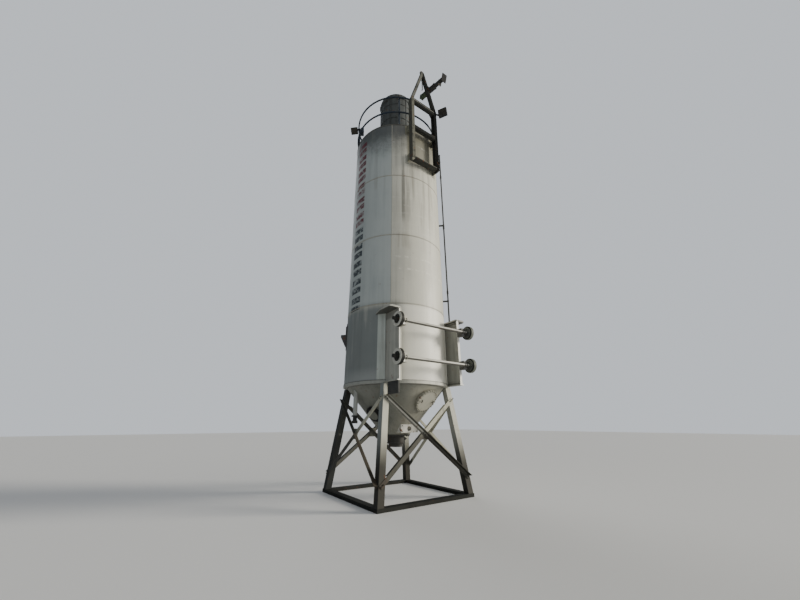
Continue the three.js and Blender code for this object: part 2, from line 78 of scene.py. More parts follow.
world = bpy.data.worlds.new("backdrop")
bpy.context.scene.world = world
world.use_nodes = True
sky = world.node_tree
sky.nodes.clear()
path = sky.nodes.new("ShaderNodeLightPath")
either = sky.nodes.new("ShaderNodeMixShader")
sky.links.new(path.outputs["Is Camera Ray"], either.inputs["Fac"])
AMBIENT, SEEN = ((0.60, 0.71, 0.87, 1), 0.15), ((0.74, 0.78, 0.83, 1), 0.9)
for way, (colour, strength) in enumerate((AMBIENT, SEEN), start=1):
    glow = sky.nodes.new("ShaderNodeBackground")
    glow.inputs["Color"].default_value = colour
    glow.inputs["Strength"].default_value = strength
    sky.links.new(glow.outputs[0], either.inputs[way])
sky.links.new(either.outputs[0], sky.nodes.new("ShaderNodeOutputWorld").inputs["Surface"])


def soft_light(name, azimuth, height, strength, spread, colour):
    """A distant lamp that shines from an azimuth round the silo (0 is +X) and a height."""
    lamp = bpy.data.lights.new(name, "SUN")
    lamp.energy = strength
    lamp.angle = math.radians(spread)
    lamp.color = colour
    holder = bpy.data.objects.new(name, lamp)
    level, lift = circle(1, height)
    towards = Vector((*circle(level, azimuth), lift))
    holder.rotation_euler = towards.to_track_quat("Z", "Y").to_euler()
    show(holder)


soft_light("key_light", -34, 15, 3.9, 16, (1.0, 0.945, 0.83))
soft_light("front_light", -82, 30, 1.0, 90, (1.0, 0.97, 0.92))
soft_light("fill_light", -165, 25, 0.18, 60, (0.72, 0.86, 1.0))
soft_light("back_light", 80, 40, 0.55, 40, (0.95, 0.97, 1.0))

def as_mesh(name, work):
    """A mesh made from a bmesh, which is then let go."""
    mesh = bpy.data.meshes.new(name)
    work.to_mesh(mesh)
    work.free()
    return mesh


def new_finish(name):
    """A new material, with its node tree and its shader."""
    finish = bpy.data.materials.new(name)
    finish.use_nodes = True
    return finish, finish.node_tree, finish.node_tree.nodes["Principled BSDF"]


slab = bmesh.new()
bmesh.ops.create_grid(slab, x_segments=2, y_segments=2, size=60)
floor = bpy.data.objects.new("pale_floor", as_mesh("pale_floor", slab))
show(floor)
floor_finish, _, floor_shader = new_finish("pale_floor")
floor_shader.inputs["Base Color"].default_value = (0.75, 0.75, 0.74, 1)
floor_shader.inputs["Roughness"].default_value = 0.9
floor.data.materials.append(floor_finish)


# The shell: four courses of rolled steel plate, butt welded to each other and down one
# side of each, then sprayed cream. Rain has drawn soot and cement down it in long runs,
# most of all below the roof and below the towing frame.
class Wire:
    """A socket in a finish; sums and products of wires add the Math nodes."""

    def __init__(self, tree, socket=None):
        self.tree = tree
        self.socket = socket

    def node(self, kind, settings=None, inputs=None, out=0):
        made = self.tree.nodes.new("ShaderNode" + kind)
        for key, value in (settings or {}).items():
            setattr(made, key, value)
        for key, value in (inputs or {}).items():
            if isinstance(value, Wire):
                self.tree.links.new(value.socket, made.inputs[key])
            else:
                made.inputs[key].default_value = value
        return Wire(self.tree, made.outputs[out])

    def feed(self, shader, name):
        self.tree.links.new(self.socket, shader.inputs[name])

    def maths(self, operation, other=0.0):
        return self.node("Math", {"operation": operation}, {0: self, 1: other})

    def __add__(self, other):
        return self.maths("ADD", other)

    def __sub__(self, other):
        return self.maths("SUBTRACT", other)

    def __rsub__(self, other):
        return self.node("Math", {"operation": "SUBTRACT"}, {0: other, 1: self})

    def __mul__(self, other):
        return self.maths("MULTIPLY", other)

    __radd__ = __add__
    __rmul__ = __mul__


def rise(value, low, high):
    """0 below low, 1 above high and smooth between them."""
    return value.node("MapRange", {"interpolation_type": "SMOOTHSTEP"},
                      {"Value": value, "From Min": low, "From Max": high})


def band(value, low, high, edge):
    """1 between low and high, fading out over edge on either side."""
    return rise(value, low - edge, low) * (1 - rise(value, high, high + edge))


def coat(share, under, over):
    """Colour under, covered by colour over as far as share says."""
    colours = [c if isinstance(c, Wire) else (*c, 1.0) for c in (under, over)]
    return share.node("Mix", {"data_type": "RGBA", "clamp_factor": True},
                      {0: share, 6: colours[0], 7: colours[1]}, out=2)


def clouds(place, scale, detail=4.0, stretch=(1, 1, 1)):
    """Noise in the row frame; a small stretch along Z makes it run down a wall."""
    spread = place.node("Mapping", {}, {"Vector": place, "Scale": stretch})
    return place.node("TexNoise", {}, {"Vector": spread, "Scale": scale, "Detail": detail,
                                       "Roughness": 0.6})


def height_and_sides(place):
    """Distances from the silo's axis along X and Y, and the height."""
    split = place.node("SeparateXYZ", {}, {"Vector": place})
    x, y, z = (Wire(place.tree, split.socket.node.outputs[i]) for i in range(3))
    return x - axis.x, y - axis.y, z


GRIME = (0.105, 0.100, 0.080)
GREASE = (0.030, 0.030, 0.028)
RUST = (0.165, 0.062, 0.026)


def weathered(name, colour, grime=GRIME, dirt=0.45, rust=0.35, dust=0.0, gloss=0.55,
              metal=0.0, relief=0.004, shine=0.5, marks=None):
    """Painted or bare steel: broad patches, rain runs, rust spots and pitting. Where marks
    is given, it lays on further coats: shares made from the finish's wires, and colours."""
    finish, tree, shader = new_finish(name)
    shader.inputs["Specular IOR Level"].default_value = shine
    start = Wire(tree)
    place = start.node("TexCoord", out=3)
    x, y, z = height_and_sides(place)
    patches = clouds(place, 0.7, 5.0)
    runs = clouds(place, 7.0, 5.0, (1, 1, 0.06))
    fine_runs = clouds(place, 26.0, 3.0, (1, 1, 0.05))
    specks = clouds(place, 9.0, 8.0)
    grain = clouds(place, 60.0, 4.0)

    soiled = rise(runs * 0.6 + patches * 0.4, 0.44, 0.72) * dirt
    soiled = soiled + rise(fine_runs, 0.52, 0.74) * dirt * 0.35
    body = coat(rise(patches, 0.35, 0.7) * 0.5, colour, tuple(c * 0.84 for c in colour))
    body = coat(soiled, body, grime)
    if dust:
        settled = (1 - rise(z, 0.1, 1.1)) * rise(specks, 0.3, 0.6) * dust
        body = coat(settled, body, (0.33, 0.30, 0.245))
    if marks:
        for share, over in marks(x, y, z, specks, patches, runs):
            body = coat(share, body, over)
    spots = rise(specks, 0.66 - 0.12 * rust, 0.74 - 0.06 * rust) * min(1.0, rust * 2.2)
    weeps = rise(specks * 0.4 + runs * 0.6, 0.62 - 0.1 * rust, 0.74 - 0.06 * rust) * rust
    body = coat(weeps * 0.7, body, tuple(0.5 * (a + b) for a, b in zip(colour, RUST)))
    body = coat(spots, body, RUST)
    body.feed(shader, "Base Color")
    rough = gloss + soiled * 0.25 + spots * 0.2 + (grain - 0.5) * 0.1
    rough.feed(shader, "Roughness")
    if metal:
        (metal * (1 - spots)).feed(shader, "Metallic")
    height = grain * 0.35 + specks * 0.65 - spots * 0.6
    bump = start.node("Bump", {}, {"Height": height, "Distance": relief, "Strength": 0.5})
    bump.feed(shader, "Normal")
    return finish


CREAM = (0.600, 0.590, 0.505)
SEAM_HEIGHTS = (3.98, 5.78, 7.61)
SHELL_R = 1.245
SHELL_STEPS, PLATE_SUNK = 144, 0.0035


def shell_marks(x, y, z, specks, patches, runs):
    """Soot and painted shade under the roof, painted shade on the left plate, the painted shadow of
    the towing frame between its rails, runs below the towing frame, seams, and painted level bars.
    """
    front = 1 - rise(y, -0.4, 0.3)
    # Painted shade: the plate on the left of the long seams, above the first round seam, is tinted
    # blue-grey.
    shaded_left_plate = rise(y * 0.636 - x * 0.772, -0.004, 0.004) * rise(z, 3.976, 3.984)
    yield shaded_left_plate * 0.44, (0.22, 0.31, 0.38)
    blotches = clouds(specks, 3.0, 3.0)
    # Soot under the roof, with painted shade under the roof's lip in it.
    under_roof = rise(z + patches * 1.1 + blotches * 0.5, 9.1, 10.0)
    yield under_roof * 0.92, (0.066, 0.072, 0.070)
    drips = rise(runs, 0.50, 0.70) * rise(z, 6.2, 9.3)
    yield drips * 0.30, (0.20, 0.195, 0.165)
    # Painted shadow: the shell between the towing frame's rails is darkened to olive, as if in the
    # frame's shadow.
    panel_in_frame_shadow = band(x, -0.38, 0.60, 0.08) * rise(z, 8.02, 8.16) * front
    yield panel_in_frame_shadow * 0.84, (0.180, 0.170, 0.122)
    below_frame = band(x, -0.50, 0.50, 0.10) * band(z, 6.6, 8.0, 0.9) * front
    yield below_frame * rise(runs, 0.46, 0.62) * 0.38, (0.22, 0.205, 0.165)
    stain = band(x, -0.560, -0.515, 0.03) * front * band(z, 6.5, 8.9, 0.5)
    yield stain * rise(runs + patches * 0.3, 0.45, 0.75) * 0.7, (0.13, 0.125, 0.105)
    for seam in SEAM_HEIGHTS:
        line = band(z, seam - 0.010, seam + 0.012, 0.016) * 0.5
        yield line, (0.17, 0.165, 0.135)
        weep = band(z, seam - 0.30, seam, 0.12) * rise(runs, 0.54, 0.68) * 0.25
        yield weep, (0.26, 0.225, 0.165)
    right_plate = 1 - shaded_left_plate
    for rolled, share in ((4.85, 0.8), (5.17, 0.6), (5.91, 0.2), (6.12, 0.3), (6.42, 0.2),
                          (6.66, 0.3), (6.90, 0.2), (7.12, 0.2), (8.78, 0.4), (8.30, 0.2)):
        line = band(z + patches * 0.02, rolled, rolled + 0.03, 0.02) * rise(blotches, 0.35, 0.6)
        yield line * right_plate * share, (0.80, 0.79, 0.70)
    # Darker blue-grey mottling low on the left side of the shell.
    darker_low_left = (1 - rise(z + patches * 0.3, 3.95, 4.25)) * rise(0 - x, 0.50, 0.72)
    yield darker_low_left * rise(runs + patches * 0.3, 0.30, 0.62) * 0.78, (0.088, 0.112, 0.125)
    low_edge = (1 - rise(z, 2.32, 2.62)) * 0.35
    yield low_edge, (0.42, 0.44, 0.43)
    washed = (1 - rise(z, 3.89, 4.02)) * rise(x, -0.75, -0.45) * front
    yield washed * 0.65, (0.86, 0.845, 0.745)

    # Level bars down the left side, sprayed through a stencil and worn since
    across = y * 0.998 - x * 0.061
    column = (rise(0 - x, 0.9, 1.0) * rise(across + 0.20, 0.0, 0.02)
              * rise(0.20 - across, 0.0, 0.02))
    step = (z * 2.05 + 0.1).maths("FRACT")
    bar = band(step, 0.12, 0.42, 0.02) + band(step, 0.58, 0.88, 0.02)
    worn = 1 - rise(specks + patches * 0.4, 0.66, 0.86) * 0.85
    upper = band(z, 6.35, 9.15, 0.01)
    lower = band(z, 3.95, 6.33, 0.01)
    yield column * bar * upper * worn * 0.95, (0.110, 0.010, 0.018)
    yield column * bar * lower * worn * 0.95, (0.022, 0.030, 0.038)


shell_paint = weathered("shell_paint", CREAM, dirt=0.24, rust=0.10, gloss=0.46,
                        relief=0.003, marks=shell_marks)


def smooth_facets(threshold):
    """A modifier's node group that merges a solid's loose facets and shades the round
    ones smooth, up to an angle between faces."""
    group = bpy.data.node_groups.new(f"smooth_{round(math.degrees(threshold))}",
                                     "GeometryNodeTree")
    for way in ("INPUT", "OUTPUT"):
        group.interface.new_socket("Geometry", in_out=way, socket_type="NodeSocketGeometry")
    incoming, merge, faces, edges, angle, sharp, outgoing = (group.nodes.new(kind) for kind in (
        "NodeGroupInput", "GeometryNodeMergeByDistance", "GeometryNodeSetShadeSmooth",
        "GeometryNodeSetShadeSmooth", "GeometryNodeInputMeshEdgeAngle", "FunctionNodeCompare",
        "NodeGroupOutput"))
    merge.inputs["Distance"].default_value = 1e-5
    faces.domain = "FACE"
    edges.domain = "EDGE"
    edges.inputs["Shade Smooth"].default_value = False
    sharp.data_type = "FLOAT"
    sharp.operation = "GREATER_THAN"
    sharp.inputs["B"].default_value = threshold
    for one, other in ((incoming, merge), (merge, faces), (faces, edges), (edges, outgoing)):
        group.links.new(one.outputs[0], other.inputs[0])
    group.links.new(angle.outputs["Unsigned Angle"], sharp.inputs["A"])
    group.links.new(sharp.outputs[0], edges.inputs["Selection"])
    return group


SHARP = math.radians(36)
FINE_FACETS = smooth_facets(SHARP)
TUBE_FACETS = smooth_facets(math.radians(50))


def dress(names, finish, facets=FINE_FACETS):
    """Gives CAD nodes a finish and smooths their facets."""
    for name in names:
        node = nodes[name]
        node.data.materials.clear()
        node.data.materials.append(finish)
        node.modifiers.new("smooth", "NODES").node_group = facets


def finish_piece(name, work, finish, body="silo"):
    """Turns a bmesh into a piece that rides on a body."""
    bmesh.ops.recalc_face_normals(work, faces=work.faces)
    for face in work.faces:
        face.smooth = True
    for edge in work.edges:
        edge.smooth = edge.calc_face_angle(0) < SHARP
    piece = bpy.data.objects.new(name, as_mesh(name, work))
    piece.data.materials.append(finish)
    show(piece)
    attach(piece, body)


def swung(line, degrees):
    """A turn about X, Y or Z."""
    return Matrix.Rotation(math.radians(degrees), 4, line)


def around(azimuth, radius, z):
    """A point given by its azimuth and distance from the silo's axis."""
    return beside(*circle(radius, azimuth), z)


def turned(azimuth):
    """A turn round the silo's axis."""
    return Matrix.Translation(axis) @ swung("Z", azimuth)


def spun(work, profile, steps=96, pivot=None, line=(0, 0, 1), sweep=360):
    """Spins a closed profile of points in the row frame round a line."""
    verts = [work.verts.new(p) for p in profile]
    edges = [work.edges.new((a, b)) for a, b in zip(verts, verts[1:] + verts[:1])]
    done = bmesh.ops.spin(work, geom=verts + edges, cent=pivot or axis, axis=line,
                          dvec=(0, 0, 0), angle=math.radians(sweep), steps=steps,
                          use_merge=sweep == 360)
    if sweep == 360:
        bmesh.ops.remove_doubles(work, verts=work.verts, dist=1e-5)
    else:
        work.faces.new(verts)
        work.faces.new([g for g in done["geom_last"] if isinstance(g, bmesh.types.BMVert)])


def ring_profile(inner, outer, low, high, azimuth=0):
    """The four corners of a flat ring's section."""
    return [around(azimuth, r, z) for r, z in
            ((inner, low), (outer, low), (outer, high), (inner, high))]


def rod(work, start, end, radius, sides=8, tip=None):
    """A round bar between two points, closed at both ends."""
    start, end = Vector(start), Vector(end)
    place = (end - start).to_track_quat("Z", "Y").to_matrix().to_4x4()
    place.translation = (start + end) / 2
    bmesh.ops.create_cone(work, cap_ends=True, segments=sides, radius1=radius,
                          radius2=radius if tip is None else tip,
                          depth=(end - start).length, matrix=place)


def bent_rod(work, points, radius):
    """A round bar along a line of points."""
    for start, end in zip(points, points[1:]):
        rod(work, start, end, radius)


def slab_between(work, one, other, place=None, edge=0.0):
    """A box between two corners, set by a matrix, with its edges rounded."""
    low, high = (Vector([pick(pair) for pair in zip(one, other)]) for pick in (min, max))
    made = bmesh.ops.create_cube(work, size=1.0)["verts"]
    bmesh.ops.scale(work, vec=high - low, verts=made)
    bmesh.ops.translate(work, vec=(low + high) / 2, verts=made)
    if edge:
        lines = list({line for v in made for line in v.link_edges})
        rounded = bmesh.ops.bevel(work, geom=lines, affect="EDGES", offset=edge, segments=2,
                                  profile=0.5, material=-1)
        made = list({v for face in rounded["faces"] for v in face.verts})
        made = list({v for seed in made for face in seed.link_faces for v in face.verts})
    if place is not None:
        bmesh.ops.transform(work, matrix=place, verts=made)


dress([f"shell_course_{i}" for i in (1, 2, 3, 4)], shell_paint)

weld_metal = weathered("weld_metal", (0.42, 0.40, 0.33), dirt=0.6, rust=0.4, gloss=0.5,
                       relief=0.006)
welds = bmesh.new()
for seam in SEAM_HEIGHTS:
    spun(welds, [around(0, SHELL_R + proud, seam + up) for proud, up in
                 ((-0.006, -0.010), (0.003, -0.006), (0.003, 0.006), (-0.006, 0.010))],
         SHELL_STEPS)
LONG_SEAMS = ((118.5, 2.285, 3.975), (-129.5, 3.985, 5.775), (-129.2, 5.785, 7.605),
              (-129.8, 7.615, 9.435), (28.5, 2.285, 3.975), (50.0, 3.985, 5.775),
              (52.0, 5.785, 7.605), (49.0, 7.615, 9.435))
for azimuth, low, high in LONG_SEAMS:
    rod(welds, *(around(azimuth, SHELL_R - 0.004, z) for z in (low, high)), 0.008)
finish_piece("shell_welds", welds, weld_metal)

# The roof: a shallow cone of plate with a lip over the shell, welded along eight ribs.
# Cement dust lies on it and has turned to a hard grey crust.
def roof_marks(x, y, *_):
    """Painted shade along the lip."""
    reach = (x * x + y * y).maths("SQRT")
    yield rise(reach, 1.225, 1.240) * 0.85, (0.060, 0.060, 0.052)


roof_paint = weathered("roof_paint", (0.34, 0.33, 0.285), dirt=0.75, rust=0.3, gloss=0.75,
                       relief=0.008, marks=roof_marks)
dress(["roof"], roof_paint)
ROOF_Z, RIB_OUT, RIB_IN = 9.4403, 1.165, 0.60
ribs = bmesh.new()
for k in range(8):
    azimuth = 22.5 + 45 * k
    rod(ribs, around(azimuth, RIB_OUT, ROOF_Z + 0.016), around(azimuth, RIB_IN, ROOF_Z + 0.058),
        0.008, 6)
spun(ribs, ring_profile(SHELL_R - 0.006, SHELL_R + 0.0055, ROOF_Z - 0.022, ROOF_Z + 0.002),
     SHELL_STEPS)
finish_piece("roof_welds", ribs, roof_paint)

# The dust filter: a drum of rolled sheet on a bolted flange, stiffened by hoops and
# folded ribs, with a dished lid held down by toggle clamps. It is bare and dark with age.
FILTER_R, FILTER_LOW, FILTER_HIGH = 0.525, 9.53, 11.48
filter_metal = weathered("filter_metal", (0.096, 0.104, 0.101), grime=(0.030, 0.030, 0.027),
                         dirt=0.75, rust=0.45, gloss=0.62, relief=0.006, shine=0.2)
dress(["filter_housing", "filter_lid"], filter_metal)
hoops = bmesh.new()
for low, high, proud in ((10.60, 10.635, 0.016), (10.05, 10.085, 0.012), (11.20, 11.23, 0.012),
                         (11.478, 11.508, 0.020)):
    spun(hoops, ring_profile(FILTER_R - 0.004, FILTER_R + proud, low, high), steps=80)
for k in range(12):
    slab_between(hoops, (FILTER_R - 0.006, -0.016, FILTER_LOW),
                 (FILTER_R + 0.014, 0.016, FILTER_HIGH), turned(30 * k + 4), 0.004)
finish_piece("filter_hoops", hoops, filter_metal)


def bolts(work, spots, size, reach, washer=0.0):
    """Hexagon heads, on a washer where one is given, standing on points along their directions."""
    for point, towards in spots:
        towards = Vector(towards).normalized()
        point = Vector(point) - towards * 0.002
        seat = point + towards * (0.002 + washer)
        if washer:
            rod(work, point, seat, size * 1.25, 10)
        rod(work, seat - towards * 0.001, seat + towards * reach, size, 6, size * 0.94)


SMALL_BOLT, LARGE_BOLT = (0.010, 0.010, 0.002), (0.012, 0.012, 0.003)
fixings = bmesh.new()
bolts(fixings, [(around(15 * k + 7, FILTER_R + 0.016, 9.5206), (0, 0, 1)) for k in range(24)],
      0.012, 0.014, 0.003)
for k in range(8):
    for near, far, half, low, high, edge in ((0.018, 0.040, 0.02, 11.44, 11.60, 0.005),
                                             (0.012, 0.030, 0.03, 11.40, 11.45, 0.004)):
        slab_between(fixings, (FILTER_R + near, -half, low), (FILTER_R + far, half, high),
                     turned(45 * k + 20), edge)
dark_iron = weathered("dark_iron", (0.070, 0.069, 0.064), grime=(0.09, 0.085, 0.07), dirt=0.5,
                      rust=0.5, metal=0.2, relief=0.003, shine=0.15)
finish_piece("filter_fixings", fixings, dark_iron)

# The guardrail: two hoops of tube on four posts, painted navy and welded at each
# crossing. Each post stands on a small plate bolted to the roof's rim.
rail_paint = weathered("rail_paint", (0.020, 0.032, 0.050), grime=(0.085, 0.082, 0.07),
                       rust=0.30, gloss=0.42, relief=0.002, shine=0.25)
dress(["guardrail"], rail_paint, facets=TUBE_FACETS)
SLEEVE_AT = 1.199
post_feet = bmesh.new()
for azimuth in (-30, 60, 150, 240):
    turn = turned(azimuth)
    slab_between(post_feet, (1.115, -0.05, ROOF_Z + 0.011), (1.222, 0.05, ROOF_Z + 0.020),
                 turn, 0.002)
    bolts(post_feet, [(turn @ Vector((1.135, side, ROOF_Z + 0.020)), (0, 0, 1))
                      for side in (-0.035, 0.035)], *SMALL_BOLT)
    for sleeve in ((9.906, 9.974), (10.516, 10.575)):
        rod(post_feet, *(turn @ Vector((SLEEVE_AT, 0, z)) for z in sleeve), 0.0265, 12)
slab_between(post_feet, (1.075, -0.085, 10.355), (1.177, 0.085, 10.555), turned(150), 0.010)
finish_piece("guardrail_feet", post_feet, rail_paint)

# The ring and the hopper cone: the ring is a rolled flat bar that takes the weight of the
# shell, and the cone is four gores of plate welded along their edges, with a flange below.
def cone_marks(x, y, z, *_):
    """Painted shade on the left, and a dark line where the cone meets the ring."""
    yield rise(0 - x, 0.05, 0.50) * 0.55, (0.085, 0.100, 0.095)
    yield rise(z, 2.195, 2.215) * 0.6, (0.05, 0.05, 0.045)


cone_paint = weathered("cone_paint", (0.335, 0.325, 0.265), dirt=0.65, rust=0.25, gloss=0.6,
                       relief=0.005, marks=cone_marks)


def ring_marks(x, *_):
    """Painted shade round the left side."""
    yield rise(0 - x, 0.1, 0.7) * 0.6, (0.150, 0.170, 0.170)


dress(["base_ring"], weathered("ring_paint", (0.58, 0.57, 0.49), dirt=0.5, rust=0.25,
                               gloss=0.5, marks=ring_marks))
dress(["hopper_cone"], cone_paint)
CONE_TOP_R, CONE_TOP_Z, CONE_LEAN = 1.22, 2.28, 39.95


def cone_point(azimuth, z, out=0.0):
    """A point on the cone's surface, or out from it square to the plate."""
    reach = CONE_TOP_R - math.tan(math.radians(CONE_LEAN)) * (CONE_TOP_Z - z)
    over, under = circle(out, CONE_LEAN)
    return around(azimuth, reach + over, z - under)


gores = bmesh.new()
for azimuth in (-138, -42, 48, 138):
    rod(gores, cone_point(azimuth, 2.215, -0.003), cone_point(azimuth, 1.22, -0.003), 0.009, 6)
spun(gores, [cone_point(0, z, out) for z, out in
             ((1.640, -0.004), (1.644, 0.005), (1.662, 0.005), (1.666, -0.004))], steps=120)
spun(gores, ring_profile(SHELL_R - PLATE_SUNK, SHELL_R + 0.010, 2.2805, 2.290), SHELL_STEPS)
finish_piece("cone_welds", gores, cone_paint)

# The outlet valve: a cast body bolted to the cone's flange, with a short spout and a
# lever shaft through its side.
dress(["outlet_valve"], dark_iron)
OUTLET_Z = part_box("outlet_valve")[1].z
FLANGE_HOLES_R, BODY_HOLES_R = 0.305, 0.205
valve = bmesh.new()
bolts(valve, [(around(22.5 * k, FLANGE_HOLES_R, OUTLET_Z - 0.0247), (0, 0, -1)) for k in range(16)],
      0.013, 0.016, 0.003)
bolts(valve, [(around(30 * k + 10, BODY_HOLES_R, OUTLET_Z - 0.190), (0, 0, 1)) for k in range(12)],
      0.009, 0.010)
for near, far, radius, sides in ((0.17, 0.235, 0.032, 16), (0.23, 0.262, 0.014, 12)):
    rod(valve, *(around(-20, reach, OUTLET_Z - 0.095) for reach in (near, far)), radius, sides)
finish_piece("valve_fittings", valve, dark_iron)

# The legs and base frame: square tubes that splay out to a frame of beams on the ground,
# all welded; the legs are in the same cream as the shell and splashed with mud and dust at the
# foot, and the base frame is near black, for mud and painted shade together.
LEG_SIDE, LEG_FOOT_HALF, LEG_TOP_HALF = 0.140, 1.180, 0.920
LEG_HEIGHT = 2.1544
LEG_LEAN = (LEG_TOP_HALF - LEG_FOOT_HALF) / LEG_HEIGHT
FOOT_TOP, BEAM_MIDDLE, MITRE_HALF = 0.0653, 1.115, 0.072


def leg_outer(z):
    """How far out a leg's outer face lies at a height."""
    return LEG_FOOT_HALF + LEG_LEAN * (z - FOOT_TOP)


def leg_marks(x, y, z, specks, patches, runs):
    """Painted shade on the faces that face left, a dark mottle over the leg at the back on the
    left, and mud below.
    """
    inner_face = band(x - leg_outer(z), -0.003 - LEG_SIDE, 0.003 - LEG_SIDE, 0.002)
    # Painted shade on every face that faces left.
    left_faces_shade = rise(0 - x - leg_outer(z), -0.006, -0.002) + inner_face * 0.6
    yield left_faces_shade * 0.85, (0.185, 0.205, 0.205)
    muddy = 1 - rise(z + patches * 0.4 + runs * 0.3, 0.95, 1.75)
    yield muddy * 0.97, (0.026, 0.024, 0.019)
    behind = rise(0 - x, 0.5, 0.6) * rise(y, 0.5, 0.6)
    yield behind * rise(specks + patches * 0.3, 0.30, 0.55) * 0.92, (0.028, 0.031, 0.030)


leg_paint = weathered("leg_paint", (0.530, 0.522, 0.440), rust=0.25, dust=0.45,
                      gloss=0.65, shine=0.2, marks=leg_marks)
dress([f"leg_{end}_{side}" for end in ("front", "back") for side in ("left", "right")], leg_paint)
# The base frame's near-black paint stands for mud and painted shade together.
dress(["base_frame"], weathered("base_paint", (0.022, 0.023, 0.020), grime=(0.016, 0.016, 0.014),
                                dirt=0.8, rust=0.25, gloss=0.75, relief=0.008, shine=0.15))
foot_welds = bmesh.new()
for side_x in (-1, 1):
    for side_y in (-1, 1):
        leg_middle = LEG_FOOT_HALF - LEG_SIDE / 2
        corner = beside(side_x * leg_middle, side_y * leg_middle, FOOT_TOP)
        for turn in range(4):
            place = Matrix.Translation(corner) @ swung("Z", 90 * turn)
            rod(foot_welds, *(place @ Vector((LEG_SIDE / 2, end * LEG_SIDE / 2, 0))
                              for end in (-1, 1)), 0.007, 6)
        for turn in range(2):
            mitre = beside(side_x * BEAM_MIDDLE, side_y * BEAM_MIDDLE, FOOT_TOP - 0.0002)
            slant = Vector((side_x, side_y, 0)) * (MITRE_HALF if turn else -MITRE_HALF)
            rod(foot_welds, mitre - slant * 0.1, mitre + slant, 0.003, 6)
finish_piece("foot_welds", foot_welds, leg_paint)

# The braces: pairs of angle irons that cross on each side, bolted at the legs through
# packing plates and to a gusset where they cross.
CROSS_Z, BRACE_OUT = 1.237, 0.0204


def brace_marks(x, y, z, specks, patches, *_):
    """A mottled painted highlight on the flats of the fore braces, painted shade in their flanges,
    on their lower half at the front and on the left side, darker braces at the back, and darker
    paint below the crossing.
    """
    reach = x.maths("ABSOLUTE").maths("MAXIMUM", y.maths("ABSOLUTE")) - leg_outer(z)
    # Painted highlight on the flats of the fore braces, mottled.
    yield band(reach, 0.014, 0.0205, 0.001) * rise(specks, 0.2, 0.5) * 0.8, (0.74, 0.73, 0.64)
    # Painted shade in the flanges.
    yield rise(reach, 0.0215, 0.0235) * 0.90, (0.060, 0.060, 0.052)
    front = 1 - rise(y, -0.9, -0.8)
    along = z - CROSS_Z + x * 0.783
    # Painted shade on the lower half of the fore braces at the front.
    lower_half = band(along, -0.052, -0.004, 0.003) * band(reach, 0.014, 0.0235, 0.001) * front
    yield lower_half * 0.8, (0.055, 0.054, 0.046)
    below_cross = 1 - rise(z + patches * 0.2, 1.25, 1.40)
    yield below_cross * front * 0.92, (0.036, 0.034, 0.027)
    yield below_cross * rise(0 - x, 0.93, 0.97) * 0.80, (0.050, 0.040, 0.030)
    yield rise(y, 0.85, 0.90) * 0.8, (0.050, 0.050, 0.045)
    # Painted shade on the braces on the left side.
    yield rise(0 - x, 0.93, 0.97) * rise(y, -0.35, 0.15) * 0.8, (0.045, 0.046, 0.042)


brace_paint = weathered("brace_paint", (0.455, 0.448, 0.362), dirt=0.6, dust=0.3,
                        gloss=0.65, relief=0.005, shine=0.2, marks=brace_marks)
dress([f"brace_{side}_{layer}" for side in ("front", "right", "back", "left")
       for layer in ("rear", "fore")], brace_paint)
joints = bmesh.new()
for index in range(4):
    turn = turned(90 * index)
    outwards = (turn.to_3x3() @ Vector((0, -1, LEG_LEAN))).normalized()
    spots = []
    for end, z in ((-1, 0.40), (1, 0.40), (-1, 1.93), (1, 1.93)):
        inner = leg_outer(z) - LEG_SIDE / 2
        slide = Vector((end, 0, 0)) * 0.022 + Vector((0, 0, 0.017 if z > 1 else -0.017))
        for share in (-1, 1):
            spot = Vector((end * inner, -leg_outer(z) - BRACE_OUT, z)) + slide * share
            spots.append((turn @ spot, outwards))
    bolts(joints, spots, *LARGE_BOLT)
    crossing = Vector((0, -leg_outer(CROSS_Z) - BRACE_OUT, CROSS_Z))
    lean = Matrix.Rotation(math.atan(LEG_LEAN), 4, "X")
    plate = turn @ Matrix.Translation(crossing) @ lean
    bolts(joints, [(plate @ Vector((dx, 0, dz)), outwards)
                   for dx, dz in ((-0.02, 0.015), (0.02, -0.015))], *LARGE_BOLT)
    slab_between(joints, (-0.085, 0.021, -0.105), (0.085, 0.029, 0.105), plate, 0.002)
finish_piece("brace_joints", joints, brace_paint)

# The manhole on the cone: a short neck and a bolted cover with two bar handles. Its
# flange stands proud between the bolts as lugs.
manhole_paint = weathered("manhole_paint", (0.385, 0.375, 0.31), dirt=0.5, rust=0.25)
dress(["manhole_neck", "manhole_cover"], manhole_paint)


def on_cone(azimuth, z):
    """The place of something square to the cone: its own Z points out of the plate."""
    return (Matrix.Translation(cone_point(azimuth, z)) @ swung("Z", azimuth)
            @ swung("Y", 90 + CONE_LEAN))


manhole = on_cone(-80, 1.93)
LID_HOLES_R, LID_LUGS_R = 0.256, 0.268
bolt_paint = weathered("bolt_paint", (0.21, 0.205, 0.17), dirt=0.5, rust=0.4, gloss=0.6,
                       relief=0.003)
lid_fixings = bmesh.new()
outwards = manhole.to_3x3() @ Vector((0, 0, 1))
for k in range(24):
    lug = manhole @ swung("Z", 15 * k)
    bolts(lid_fixings, [(lug @ Vector((LID_HOLES_R, 0, 0.066)), outwards)], 0.0125, 0.013, 0.003)
    rod(lid_fixings, *(lug @ Vector((LID_LUGS_R, 0, z)) for z in (0.0370, 0.0655)), 0.0185, 12)
finish_piece("manhole_bolts", lid_fixings, bolt_paint)
port_iron = weathered("port_iron", (0.020, 0.020, 0.021), grime=(0.06, 0.057, 0.05), dirt=0.5,
                      rust=0.2, gloss=0.5, relief=0.003, shine=0.2)
handles = bmesh.new()
for side in (-0.175, 0.175):
    for tip in (-0.022, 0.022):
        rod(handles, *(manhole @ Vector((tip, side, z)) for z in (0.062, 0.092)), 0.008, 10)
    rod(handles, *(manhole @ Vector((end, side, 0.092)) for end in (-0.030, 0.030)), 0.008, 10)
finish_piece("manhole_handles", handles, port_iron)

